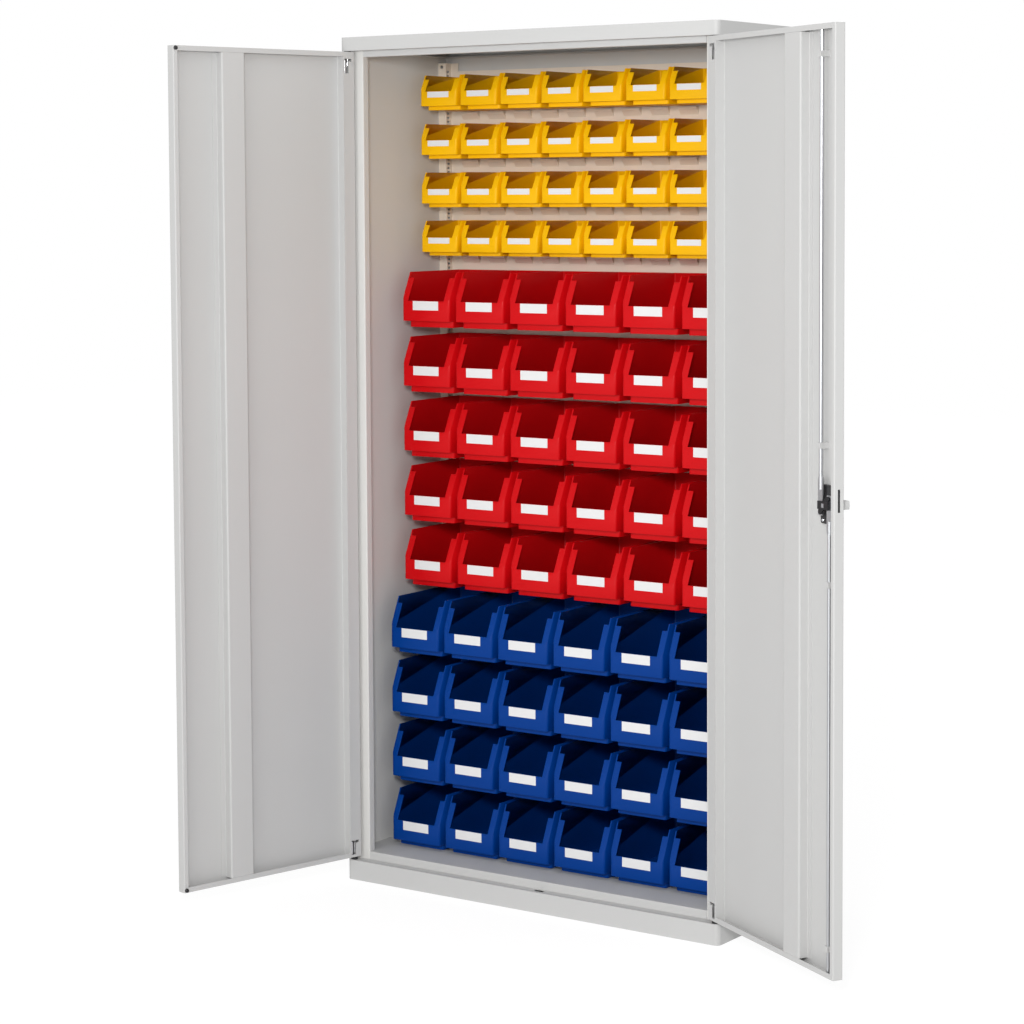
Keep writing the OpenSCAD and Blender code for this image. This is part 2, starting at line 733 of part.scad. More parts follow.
module rod_guides() color(steel_grey) at_right_door()
    for (i = [0 : 3]) {
        u = i < 2 ? upper_u : lower_u;
        difference() {
            block([u - guide_w / 2, gauge, guide_z[i] - guide_w / 2],
                  [u + guide_w / 2, rod_d + rod_r + guide_t, guide_z[i] + guide_w / 2]);
            translate([u, rod_d, guide_z[i] - guide_w])
                cylinder(r = rod_r + running_fit, h = 2 * guide_w);
        }
    }

// ---- Bins ----

// Louvre tip nearest to a bin's centre line, measured from that line
function nearest_louvre(x) =
    let (half = louvre_dx / 2) half + louvre_dx * round((x - half) / louvre_dx) - x;

// Plan of a bin: wider at the back, with rounded corners
function bin_plan(front_w, back_w, y0, y1, r) =
    rounded([[-front_w / 2, y0], [front_w / 2, y0], [back_w / 2, y1], [-back_w / 2, y1]],
            [r, r, r, r], bend_steps);

// Open-fronted bin standing at the origin: front wall on y = 0, foot on z = 0.
// The sides slope back from the sill, and a flange frames the sloping mouth.
module bin(len, front_w, back_w, h, sill, flange_top, foot, slant, flange, hook_z, hooks) {
    slope = norm([slant, h - sill]);
    lean = slant / (h - sill);
    inner_y = wall * slope / (h - sill);       // inside of the sloping front, at the sill
    knee = sill - (inner_y - wall) / lean;     // where it meets the inside of the front wall
    inner_corner = bin_corner_r - wall;
    top = h + overlap;
    difference() {
        union() {
            intersection() {
                along_x([[0, foot], [0, sill], [slant, h], [len, h], [len, foot]],
                        -back_w / 2, back_w / 2);
                along_z(bin_plan(front_w, back_w, 0, len, bin_corner_r), 0, h);
            }
            along_z(bin_plan(front_w - 2 * foot_inset, back_w - 2 * foot_inset,
                             foot_setback, len - foot_inset, bin_corner_r), 0, foot + wall);
            for (x = hooks) {
                block([x - hook_w / 2, len - wall, hook_z + seat_gap],
                      [x + hook_w / 2, len + hook_reach, hook_z + hook_t]);
                block([x - hook_w / 2, len + hook_reach - hook_t, hook_z - hook_leg],
                      [x + hook_w / 2, len + hook_reach, hook_z + hook_t]);
            }
        }
        intersection() {
            along_x([[wall, foot + wall], [wall, knee], [inner_y + lean * (top - sill), top],
                     [len - wall, top], [len - wall, foot + wall]], -back_w / 2, back_w / 2);
            along_z(bin_plan(front_w - 2 * wall, back_w - 2 * wall, wall, len - wall,
                             inner_corner), 0, top);
        }
        along_z(bin_plan(front_w - 2 * foot_inset - 2 * wall, back_w - 2 * foot_inset - 2 * wall,
                         foot_setback + wall, len - foot_inset - wall, inner_corner),
                wall, foot + wall + overlap);
        block([-front_w / 2 + flange, -overlap, sill],
              [front_w / 2 - flange, slant + wall, h + overlap]);
        block([-front_w / 2 + wall, -overlap, flange_top],
              [front_w / 2 - wall, slant + wall, h + overlap]);
    }
}

// Card in the label holder at the top of a bin's front wall
module label(w, h, sill)
    block([-w / 2, -label_t, sill - h - 0.5], [w / 2, 0, sill - 0.5]);

module yellow_shape(x)
    bin(yellow_len, yellow_front, yellow_w, yellow_h, sill = 43, flange_top = 72, foot = 9,
        slant = 20, flange = 14, hook_z = yellow_hook, hooks = [nearest_louvre(x)]);
module red_shape(x)
    bin(red_len, red_front, red_w, red_h, sill = 62, flange_top = 115, foot = 15,
        slant = 32, flange = 16, hook_z = red_hook, hooks = [-louvre_dx / 2, louvre_dx / 2]);
module blue_shape(x)
    bin(blue_len, blue_front, blue_w, blue_h, sill = 61, flange_top = 115, foot = 14,
        slant = 31, flange = 15, hook_z = blue_hook, hooks = [-louvre_dx / 2, louvre_dx / 2]);

function yellow_x(k) = (k - (yellow_columns - 1) / 2) * 1.5 * louvre_dx;
function wide_x(k) = (k - (wide_columns - 1) / 2) * 2 * louvre_dx;

// Foot of a bin in row n of its colour, counted down from the top
function yellow_z(n) = tip_height(2, 15 - 3 * (n - 1)) - yellow_hook;
function red_z(n) = tip_height(2, 3) - 4 * (n - 1) * louvre_dz - red_hook;
function blue_z(n) = tip_height(0, 15) - 4 * (n - 1) * louvre_dz - blue_hook;
function tip_height(panel, row) = louvre_foot(panel, row) + louvre_h;

module at_yellow(k, n) translate([yellow_x(k), bin_back_y - yellow_len, yellow_z(n)]) children();
module at_red(k, n) translate([wide_x(k), bin_back_y - red_len, red_z(n)]) children();
module at_blue(k, n) translate([wide_x(k), bin_back_y - blue_len, blue_z(n)]) children();

module yellow_row(n) color(yellow_plastic)
    for (k = [0 : yellow_columns - 1])
        if ([k, n] != loose_yellow) at_yellow(k, n) yellow_shape(yellow_x(k));
module red_row(n) color(red_plastic)
    for (k = [0 : wide_columns - 1])
        if ([k, n] != loose_red) at_red(k, n) red_shape(wide_x(k));
module blue_row(n) color(blue_plastic)
    for (k = [0 : wide_columns - 1])
        if ([k, n] != loose_blue) at_blue(k, n) blue_shape(wide_x(k));

module yellow_card() label(62, 16, 43);
module red_card() label(75, 23, 62);
module blue_card() label(75, 23, 61);

module yellow_labels() color(label_white)
    for (n = [1 : 4], k = [0 : yellow_columns - 1])
        if ([k, n] != loose_yellow) at_yellow(k, n) yellow_card();
module red_labels() color(label_white)
    for (n = [1 : 5], k = [0 : wide_columns - 1])
        if ([k, n] != loose_red) at_red(k, n) red_card();
module blue_labels() color(label_white)
    for (n = [1 : 4], k = [0 : wide_columns - 1])
        if ([k, n] != loose_blue) at_blue(k, n) blue_card();

module yellow_bin() color(yellow_plastic)
    at_yellow(loose_yellow[0], loose_yellow[1]) yellow_shape(yellow_x(loose_yellow[0]));
module yellow_bin_label() color(label_white)
    at_yellow(loose_yellow[0], loose_yellow[1]) yellow_card();
module red_bin() color(red_plastic)
    at_red(loose_red[0], loose_red[1]) red_shape(wide_x(loose_red[0]));
module red_bin_label() color(label_white) at_red(loose_red[0], loose_red[1]) red_card();
module blue_bin() color(blue_plastic)
    at_blue(loose_blue[0], loose_blue[1]) blue_shape(wide_x(loose_blue[0]));
module blue_bin_label() color(label_white) at_blue(loose_blue[0], loose_blue[1]) blue_card();

top_panel();
left_side();
right_side();
back_panel();
floor_panel();
plinth();
left_upright();
right_upright();
louvre_panel_top();
louvre_panel_middle();
louvre_panel_bottom();
panel_screws();
hinge_bushes();
left_door();
left_stiffener();
left_hinge_pins();
left_buffers();
right_door();
right_stiffener();
right_hinge_pins();
rod_guides();
lock_case();
lock_screws();
lock_rose();
lock_knob();
lock_spindle();
lock_crank();
key_barrel();
upper_rod();
lower_rod();
yellow_row(1);  // yellow_row_1
yellow_row(2);  // yellow_row_2
yellow_row(3);  // yellow_row_3
yellow_row(4);  // yellow_row_4
red_row(1);  // red_row_1
red_row(2);  // red_row_2
red_row(3);  // red_row_3
red_row(4);  // red_row_4
red_row(5);  // red_row_5
blue_row(1);  // blue_row_1
blue_row(2);  // blue_row_2
blue_row(3);  // blue_row_3
blue_row(4);  // blue_row_4
yellow_labels();
red_labels();
blue_labels();
yellow_bin();
yellow_bin_label();
red_bin();
red_bin_label();
blue_bin();
blue_bin_label();
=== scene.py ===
# %% [markdown]
# # Dressing a parts bin cabinet
#
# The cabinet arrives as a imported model: folded sheet steel, louvre panels, hinges,
# lock and bins, already in place and in metres. This lesson gives it its looks.
# Powder coat, moulded plastic and plated steel are all made from nodes, and the
# rows of bins are hung up again by Geometry Nodes, with rounded edges this time.

import math

import bmesh
import bpy
from mathutils import Matrix, Vector


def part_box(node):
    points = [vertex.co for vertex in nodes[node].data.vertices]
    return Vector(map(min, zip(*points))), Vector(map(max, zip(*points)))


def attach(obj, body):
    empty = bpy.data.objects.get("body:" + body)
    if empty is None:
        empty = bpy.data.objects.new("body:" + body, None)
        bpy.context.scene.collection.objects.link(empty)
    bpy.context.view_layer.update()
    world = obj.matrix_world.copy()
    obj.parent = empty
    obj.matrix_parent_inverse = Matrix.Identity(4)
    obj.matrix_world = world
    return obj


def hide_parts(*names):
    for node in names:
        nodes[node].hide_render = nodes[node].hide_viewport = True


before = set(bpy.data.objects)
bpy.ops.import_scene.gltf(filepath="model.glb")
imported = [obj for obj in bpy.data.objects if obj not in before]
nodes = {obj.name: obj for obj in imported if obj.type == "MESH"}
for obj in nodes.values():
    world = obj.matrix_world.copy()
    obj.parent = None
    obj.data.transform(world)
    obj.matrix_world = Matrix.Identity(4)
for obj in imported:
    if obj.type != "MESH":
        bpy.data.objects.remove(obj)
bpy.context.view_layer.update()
MM = 0.001

# %% [markdown]
# ## Camera
#
# The photograph was taken from the right of the cabinet, at about eye height, with a
# long lens. A camera can be placed by eye, but the corners of the carcass and doors
# are known points, so its place was solved from them. The lens is shifted a little,
# as on an architect's camera, so that upright lines stay nearly upright. A Blender
# camera looks straight down until it is turned, so it is first tipped up by a quarter
# turn, less the small angle at which it looks down here.

# %% Camera
IMAGE_PX = 1024
CAMERA_AT = Vector((3.2764, -4.9462, 1.5968))
YAW, PITCH, ROLL = math.radians(34.848), math.radians(3.769), math.radians(-0.298)
FOCAL_PX = 2631.4
AXIS_ROW_PX = 365
FARTHEST_SEEN = 50.0

scene = bpy.context.scene
collection = scene.collection
camera_data = bpy.data.cameras.new("camera")
camera = bpy.data.objects.new("camera", camera_data)
collection.objects.link(camera)
camera_data.lens = FOCAL_PX * camera_data.sensor_width / IMAGE_PX
camera_data.shift_y = (AXIS_ROW_PX - IMAGE_PX / 2) / IMAGE_PX
camera_data.clip_end = FARTHEST_SEEN
camera.matrix_world = (
    Matrix.Translation(CAMERA_AT)
    @ Matrix.Rotation(YAW, 4, "Z")
    @ Matrix.Rotation(math.pi / 2 - PITCH, 4, "X")
    @ Matrix.Rotation(ROLL, 4, "Z")
)
scene.camera = camera
print("lens:", round(camera_data.lens, 1), "mm, shift:", round(camera_data.shift_y, 3))

# %% [markdown]
# ## Helpers for materials
#
# Every finish here is a Principled BSDF with a few nodes in front of it. A few small
# helpers keep those short: one turns a colour as seen on screen into the linear value
# that nodes expect, one picks a socket, one adds a node and sets its inputs, and one
# starts a material.

# %% Helpers for materials
def seen(*screen):
    """A colour written as 0 to 255 on screen, as linear red, green, blue, alpha."""
    linear = [((c / 255 + 0.055) / 1.055) ** 2.4 if c > 10 else c / 255 / 12.92
              for c in screen]
    return (*linear, 1.0)


def port(sockets, name):
    """The socket of that name that is in use: Mix, for one, has an A for each data type."""
    return next(s for s in sockets if s.name == name and s.enabled)


def add(tree, kind, inputs=None, **settings):
    """A new node of that kind, with its settings and the inputs given by name or number."""
    node = tree.nodes.new(kind)
    for name, value in settings.items():
        setattr(node, name, value)
    for name, value in (inputs or {}).items():
        socket = node.inputs[name] if isinstance(name, int) else port(node.inputs, name)
        socket.default_value = value
    return node


def new_material(name, **shader_inputs):
    """A material with only a Principled BSDF, its inputs set, and its output."""
    mat = bpy.data.materials.new(name)
    mat.use_nodes = True
    shader = mat.node_tree.nodes["Principled BSDF"]
    for key, value in shader_inputs.items():
        shader.inputs[key.replace("_", " ")].default_value = value
    return mat, mat.node_tree, shader


print("a mid grey on screen, as nodes want it:", [round(v, 3) for v in seen(128, 128, 128)])

# %% [markdown]
# ## Two effects that all the finishes share
#
# No real surface has one even colour. Paint and plastic vary a little in tone from
# place to place, and both have a fine skin: the orange peel of powder coat, or the
# spark-eroded grain of a mould. The first group makes both from noise. The second
# finds where dust settles: on faces that look up, broken up by noise. As groups, each
# is built once and placed in every material with its own values.

# %% Group for tone and skin
def build_skin_group():
    """Tone: a factor near 1. Height: fine bumps for a Bump node."""
    group = bpy.data.node_groups.new("Tone and skin", "ShaderNodeTree")
    face = group.interface
    for name, default in (("Patch size", 2.0), ("Patch strength", 0.05),
                          ("Grain size", 900.0), ("Streak", 1.0)):
        socket = face.new_socket(name, in_out="INPUT", socket_type="NodeSocketFloat")
        socket.default_value = default
    for name in ("Tone", "Height"):
        face.new_socket(name, in_out="OUTPUT", socket_type="NodeSocketFloat")
    link = group.links.new
    given = add(group, "NodeGroupInput")
    place = add(group, "ShaderNodeTexCoord")
    stretch = add(group, "ShaderNodeCombineXYZ", {"X": 1.0, "Y": 1.0})
    scaled = add(group, "ShaderNodeVectorMath", operation="MULTIPLY")
    patches = add(group, "ShaderNodeTexNoise", {"Detail": 4.0, "Roughness": 0.6})
    grain = add(group, "ShaderNodeTexNoise", {"Detail": 2.0})
    centred = add(group, "ShaderNodeMath", {1: 0.5}, operation="SUBTRACT")
    tone = add(group, "ShaderNodeMath", {2: 1.0}, operation="MULTIPLY_ADD")
    result = add(group, "NodeGroupOutput")
    link(given.outputs["Streak"], stretch.inputs["Z"])
    link(place.outputs["Object"], scaled.inputs[0])
    link(stretch.outputs[0], scaled.inputs[1])
    link(scaled.outputs[0], patches.inputs["Vector"])
    link(given.outputs["Patch size"], patches.inputs["Scale"])
    link(place.outputs["Object"], grain.inputs["Vector"])
    link(given.outputs["Grain size"], grain.inputs["Scale"])
    link(patches.outputs["Fac"], centred.inputs[0])
    link(centred.outputs[0], tone.inputs[0])
    link(given.outputs["Patch strength"], tone.inputs[1])
    link(tone.outputs[0], result.inputs["Tone"])
    link(grain.outputs["Fac"], result.inputs["Height"])
    return group


skin_group = build_skin_group()
print("group:", skin_group.name)

# %% Group for dust
def build_dust_group():
    """Mask: 0 clean, up to Amount on faces that look up."""
    group = bpy.data.node_groups.new("Settled dust", "ShaderNodeTree")
    face = group.interface
    for name, default in (("Amount", 0.2), ("Size", 8.0)):
        socket = face.new_socket(name, in_out="INPUT", socket_type="NodeSocketFloat")
        socket.default_value = default
    face.new_socket("Mask", in_out="OUTPUT", socket_type="NodeSocketFloat")
    link = group.links.new
    given = add(group, "NodeGroupInput")
    geometry = add(group, "ShaderNodeNewGeometry")
    split = add(group, "ShaderNodeSeparateXYZ")
    upward = add(group, "ShaderNodeMapRange", {"From Min": 0.6, "From Max": 0.95})
    place = add(group, "ShaderNodeTexCoord")
    clumps = add(group, "ShaderNodeTexNoise", {"Detail": 6.0, "Roughness": 0.7})
    broken = add(group, "ShaderNodeMapRange", {"From Min": 0.35, "From Max": 0.75})
    both = add(group, "ShaderNodeMath", operation="MULTIPLY")
    scaled = add(group, "ShaderNodeMath", operation="MULTIPLY")
    result = add(group, "NodeGroupOutput")
    link(geometry.outputs["Normal"], split.inputs[0])
    link(split.outputs["Z"], upward.inputs["Value"])
    link(place.outputs["Object"], clumps.inputs["Vector"])
    link(given.outputs["Size"], clumps.inputs["Scale"])
    link(clumps.outputs["Fac"], broken.inputs["Value"])
    link(upward.outputs[0], both.inputs[0])
    link(broken.outputs[0], both.inputs[1])
    link(both.outputs[0], scaled.inputs[0])
    link(given.outputs["Amount"], scaled.inputs[1])
    link(scaled.outputs[0], result.inputs["Mask"])
    return group


dust_group = build_dust_group()
print("group:", dust_group.name)

# %% [markdown]
# ## Finishes
#
# A finish is a base colour times the tone, a little dust mixed over it, and the skin
# as a bump. One function places both groups, so each finish is a line of values.
# Powder coat is matt with a coarse skin, and moulded plastic is glossier with a finer
# one. Zinc plate is a metal with long upright streaks, from rolling or drawing.

# %% A finish from the two groups
DUST = seen(196, 192, 184)
RELIEF = 0.6
finishes = []


def finish(name, colour, roughness, patch, strength, grain, bump,
           dust=0.0, streak=1.0, **extra):
    """Builds one finish.

    patch and grain are patterns to the metre, strength is how far the tone varies,
    bump is the depth of the skin in metres, and a low streak draws the patches out.
    """
    mat, tree, shader = new_material(name, **extra)
    link = tree.links.new
    skin = add(tree, "ShaderNodeGroup", node_tree=skin_group)
    for socket, value in (("Patch size", patch), ("Patch strength", strength),
                          ("Grain size", grain), ("Streak", streak)):
        skin.inputs[socket].default_value = value
    settled = add(tree, "ShaderNodeGroup", node_tree=dust_group)
    settled.inputs["Amount"].default_value = dust
    toned = add(tree, "ShaderNodeMix", data_type="RGBA", blend_type="MULTIPLY")
    port(toned.inputs, "Factor").default_value = 1.0
    port(toned.inputs, "A").default_value = colour
    dusty = add(tree, "ShaderNodeMix", data_type="RGBA")
    port(dusty.inputs, "B").default_value = DUST
    link(skin.outputs["Tone"], port(toned.inputs, "B"))
    link(port(toned.outputs, "Result"), port(dusty.inputs, "A"))
    link(settled.outputs["Mask"], port(dusty.inputs, "Factor"))
    link(port(dusty.outputs, "Result"), shader.inputs["Base Color"])
    rough = add(tree, "ShaderNodeMath", {1: roughness}, operation="MULTIPLY")
    link(skin.outputs["Tone"], rough.inputs[0])
    link(rough.outputs[0], shader.inputs["Roughness"])
    relief = add(tree, "ShaderNodeBump", {"Strength": RELIEF, "Distance": bump})
    link(skin.outputs["Height"], relief.inputs["Height"])
    link(relief.outputs["Normal"], shader.inputs["Normal"])
    finishes.append(mat)
    return mat


# %% Painted finishes and moulded colours
COAT = {"patch": 1.5, "strength": 0.05, "grain": 700, "bump": 0.2 * MM}
MOULDED = {"patch": 6, "strength": 0.12, "grain": 1500, "bump": 0.08 * MM}

grey_paint = finish("grey powder coat", seen(193, 193, 192), 0.52, dust=0.06, **COAT)
side_paint = finish("side powder coat", seen(210, 209, 206), 0.52, dust=0.05, **COAT)
# Pale paint for the louvre panels and uprights. Its warm tint is painted light: it stands in for
# the warm light that the yellow bins throw back onto the panels.
panel_paint_warm_bounce = finish("pale powder coat with painted warm bounce", seen(234, 222, 206), 0.55, patch=2.0,
                     strength=0.04, grain=700, bump=0.2 * MM, dust=0.05)
plastics = {
    "yellow": finish("yellow moulded plastic", seen(240, 182, 0), 0.4, patch=6,
                     strength=0.10, grain=1500, bump=0.08 * MM, Specular_IOR_Level=0.15),
    "red": finish("red moulded plastic", seen(200, 8, 16), 0.38, dust=0.01,
                  Specular_IOR_Level=0.15, **MOULDED),
    "blue": finish("blue moulded plastic", seen(0, 56, 134), 0.4, dust=0.01,
                   Specular_IOR_Level=0.12, **MOULDED)}
print("colours of plastic:", list(plastics))

# %% Finishes of the small parts
zinc = finish("zinc plate", seen(200, 202, 205), 0.34, patch=30, strength=0.25,
              grain=1200, bump=0.05 * MM, streak=0.08, Metallic=1.0)
bright_metal = finish("bright plate", seen(240, 240, 242), 0.3, patch=20, strength=0.15,
                      grain=1200, bump=0.02 * MM, Metallic=1.0)
dark_plastic = finish("black moulded plastic", seen(30, 30, 32), 0.42, patch=12,
                      strength=0.3, grain=1500, bump=0.1 * MM, dust=0.05)
dark_metal = finish("black passivated steel", seen(48, 48, 50), 0.4, patch=25,
                    strength=0.4, grain=1200, bump=0.05 * MM, Metallic=0.6)
label_card = finish("label card", seen(222, 222, 222), 0.6, patch=40, strength=0.05,
                    grain=2500, bump=0.03 * MM)
print("finishes:", len(finishes))

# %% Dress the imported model
def dress(mat, names):
    """Gives CAD nodes this material."""
    for name in names:
        mesh = nodes[name].data
        mesh.materials.clear()
        mesh.materials.append(mat)


dress(grey_paint, ["top_panel", "floor_panel", "plinth",
                   "left_door", "left_stiffener", "right_door", "right_stiffener",
                   "lock_rose", "lock_knob", "rod_guides"])
dress(side_paint, ["left_side", "right_side", "back_panel"])
dress(panel_paint_warm_bounce, ["left_upright", "right_upright", "louvre_panel_top",
                    "louvre_panel_middle", "louvre_panel_bottom"])
dress(zinc, ["panel_screws", "lock_screws", "upper_rod", "lower_rod", "lock_spindle"])
dress(bright_metal, ["left_hinge_pins", "right_hinge_pins", "key_barrel"])
dress(dark_plastic, ["hinge_bushes", "left_buffers", "lock_case"])
dress(dark_metal, ["lock_crank"])
for colour, plastic in plastics.items():
    dress(plastic, [n for n in nodes if n.startswith(f"{colour}_row")] + [f"{colour}_bin"])
    dress(label_card, [f"{colour}_labels", f"{colour}_bin_label"])
print("nodes without a finish:",
      [n for n, o in nodes.items() if o.data.materials[0] not in finishes])

# %% [markdown]
# ## Bins with rounded edges
#
# A moulded bin has no sharp edge: steel moulds are cut with a small radius everywhere,
# so that the plastic flows and the bin comes out of the mould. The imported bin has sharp
# edges, and a thread of plastic under a millimetre thick is left across its mouth, at
# the top. The bin could be modelled again by hand, but a copy of the loose one stays
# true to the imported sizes: a Boolean modifier cuts the thread out, and a Bevel modifier
# rounds the edges. Edges that end in a tiny step are left sharp, because a bevel there
# would either fold over or hold back the radius everywhere else.

# %% Helpers for pieces
MERGE = 0.01 * MM


def piece_from_mesh(name, mesh, mat):
    """An object at the origin that holds this mesh and, where one is given, a material."""
    mesh.materials.clear()
    if mat:
        mesh.materials.append(mat)
    obj = bpy.data.objects.new(name, mesh)
    collection.objects.link(obj)
    return obj


def evaluated_mesh(obj):
    """The mesh that the object's modifiers give, as plain data."""
    graph = bpy.context.evaluated_depsgraph_get()
    graph.update()
    return bpy.data.meshes.new_from_object(obj.evaluated_get(graph), depsgraph=graph)


def merged_copy(node_name, name):
    """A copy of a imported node's mesh with its loose triangles joined."""
    mesh = nodes[node_name].data.copy()
    mesh.name = name
    work = bmesh.new()
    work.from_mesh(mesh)
    bmesh.ops.remove_doubles(work, verts=work.verts, dist=MERGE)
    work.to_mesh(mesh)
    work.free()
    return mesh


def corners(node_name):
    """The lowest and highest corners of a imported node, at rest."""
    return [Vector(corner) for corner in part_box(node_name)]


print("corners of the loose red bin:", corners("red_bin"))

# %% Rounded edges
FLAT = math.radians(0.5)
SHARP = math.radians(40)
TINY_STEP = 0.6 * MM
BIN_RADIUS = 0.5 * MM
RADIUS_SEGMENTS = 2


def round_edges(obj):
    """Bevels the sharp edges that don't end in a tiny step, and shades smooth."""
    work = bmesh.new()
    work.from_mesh(obj.data)
    bmesh.ops.remove_doubles(work, verts=work.verts, dist=MERGE)
    bmesh.ops.dissolve_limit(work, angle_limit=FLAT, verts=work.verts, edges=work.edges)
    weight = work.edges.layers.float.new("bevel_weight_edge")
    stepped = {v for v in work.verts
               if min(e.calc_length() for e in v.link_edges) < TINY_STEP}
    for edge in work.edges:
        sharp = edge.is_manifold and edge.calc_face_angle() > SHARP
        edge[weight] = float(sharp and not stepped.intersection(edge.verts))
    work.to_mesh(obj.data)
    work.free()
    bevel = obj.modifiers.new("edge radius", "BEVEL")
    bevel.width = BIN_RADIUS
    bevel.segments = RADIUS_SEGMENTS
    bevel.limit_method = "WEIGHT"
    bevel.harden_normals = True
    for polygon in obj.data.polygons:
        polygon.use_smooth = True


print("edge radius:", BIN_RADIUS, "m, on edges sharper than", round(math.degrees(SHARP)), "degrees")

# %% Block that cuts the mouth open
# How far the thread lies behind the bin's front, the width of the block across the
# mouth, and how far the block reaches past the thread.
THREAD_BEHIND = {"yellow": 22.5 * MM, "red": 34.5 * MM, "blue": 33.5 * MM}
MOUTH_WIDTH = {"yellow": 99 * MM, "red": 130 * MM, "blue": 132 * MM}
REACH = 1.1 * MM


def box_piece(name, low, high):
    """A plain block between two corners."""
    mesh = bpy.data.meshes.new(name)
    work = bmesh.new()
    bmesh.ops.create_cube(work, size=1.0)
    low, high = Vector(low), Vector(high)
    for vertex in work.verts:
        vertex.co = (low + high) / 2 + vertex.co * (high - low)
    work.to_mesh(mesh)
    work.free()
    return piece_from_mesh(name, mesh, None)


def thread_cutter(colour):
    """A block round the thread that crosses the mouth of this colour's loose bin."""
    low, high = corners(f"{colour}_bin")
    card_low, card_high = corners(f"{colour}_bin_label")
    centre_x = (card_low.x + card_high.x) / 2
    thread_y = low.y + THREAD_BEHIND[colour]
    half = MOUTH_WIDTH[colour] / 2
    return box_piece("thread_cutter",
                     (centre_x - half, thread_y - REACH, high.z - 2 * REACH),
                     (centre_x + half, thread_y + REACH, high.z + REACH))


print("the block is", round(3 * REACH / MM, 1), "mm high and", round(2 * REACH / MM, 1), "mm deep")

# %% Rounded loose bins
masters = {}
for colour, plastic in plastics.items():
    cast = piece_from_mesh(f"{colour}_cast",
                           merged_copy(f"{colour}_bin", f"{colour}_cast"), plastic)
    cutter = thread_cutter(colour)
    cut = cast.modifiers.new("open mouth", "BOOLEAN")
    cut.operation = "DIFFERENCE"
    cut.solver = "EXACT"
    cut.object = cutter
    rough_bin = piece_from_mesh(f"{colour}_source", evaluated_mesh(cast), plastic)
    round_edges(rough_bin)
    mesh = evaluated_mesh(rough_bin)
    for spare in (cast, cutter, rough_bin):
        bpy.data.objects.remove(spare)
    loose = piece_from_mesh(f"{colour}_bin_shell", mesh, plastic)
    masters[colour] = loose
    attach(loose, f"{colour}_bin")
    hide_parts(f"{colour}_bin")
    print(colour, "bin:", len(mesh.polygons), "faces")

# %% [markdown]
# ## Cards
#
# A white card lies on the front of each bin, just under its sill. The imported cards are
# a little larger than those in the photograph. They could be made again as flat boxes,
# but scaling the loose bin's card about its upper edge keeps its place and thickness.
# It stays flat and sharp: smooth shading on so thin a card would spread a grey
# gradient over its face.

# %% Cards on the loose bins
CARD_SIZE = {"yellow": (61 * MM, 13.5 * MM), "red": (73 * MM, 21 * MM),
             "blue": (73 * MM, 21 * MM)}


def trimmed_card(colour):
    """The loose bin's card, cut to its size from its upper edge."""
    mesh = merged_copy(f"{colour}_bin_label", "card")
    low, high = corners(f"{colour}_bin_label")
    width, height = CARD_SIZE[colour]
    pivot = Vector(((low.x + high.x) / 2, 0, high.z))
    shrink = Matrix.Diagonal((width / (high.x - low.x), 1, height / (high.z - low.z), 1))
    mesh.transform(Matrix.Translation(pivot) @ shrink @ Matrix.Translation(-pivot))
    return piece_from_mesh(f"{colour}_bin_card", mesh, label_card)


labels = {}
for colour in plastics:
    labels[colour] = trimmed_card(colour)
    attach(labels[colour], f"{colour}_bin")
    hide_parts(f"{colour}_bin_label")
    print(colour, "card:", [round(v, 4) for v in labels[colour].dimensions], "m")

# %% [markdown]
# ## Rows of bins
#
# Eighty-six bins hang on the back wall, but there are only three shapes. An artist
# could copy them by hand or with an Array modifier. Geometry Nodes does it in one
# tree: a grid of points, a copy of the loose bin on each, and one point left out where
# the loose bin itself hangs. The same tree hangs the cards. Yellow bins need a second
# copy, because their hook sits left or right of the middle by turns.

